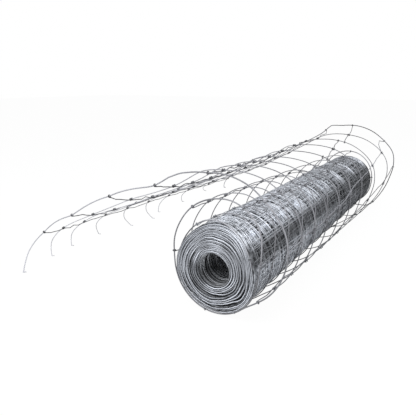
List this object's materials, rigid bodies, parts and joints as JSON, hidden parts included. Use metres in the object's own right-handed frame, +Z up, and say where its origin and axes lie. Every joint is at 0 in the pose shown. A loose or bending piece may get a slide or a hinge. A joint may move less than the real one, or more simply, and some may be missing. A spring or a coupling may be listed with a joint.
{
  "type": "roll of woven-wire cattle fence",
  "caption": "Roll of galvanised hinge-joint cattle fence lying on its side, with its outer end sprung loose into an open loop and a tail of cut line wires.",
  "frame": {"origin": "centre of the bore, half way along the roll", "axes": "+Y along the roll's axis, towards the edge with the wide wire spacing; +Z up; the tail lies towards -X"},
  "size_m": [0.8892, 1.2734, 0.3641],
  "materials": {
    "wound_wire": "galvanised wire, wound tight, dull zinc",
    "line_wire": "galvanised line wire, satin zinc",
    "stay_wire": "galvanised stay wire, satin zinc, darker in the knots"
  },
  "bodies": {
    "root": {"wound_roll": "wound_wire", "line_wire_01": "line_wire", "line_wire_02": "line_wire", "line_wire_03": "line_wire", "line_wire_04": "line_wire", "line_wire_05": "line_wire", "line_wire_06": "line_wire", "line_wire_07": "line_wire", "line_wire_08": "line_wire", "line_wire_09": "line_wire", "line_wire_10": "line_wire", "stay_01": "stay_wire", "stay_02": "stay_wire", "stay_03": "stay_wire", "stay_04": "stay_wire", "stay_05": "stay_wire", "stay_06": "stay_wire", "stay_07": "stay_wire", "stay_08": "stay_wire", "stay_09": "stay_wire", "stay_10": "stay_wire", "stay_11": "stay_wire", "stay_12": "stay_wire", "stay_13": "stay_wire"}
  },
  "joints": []
}
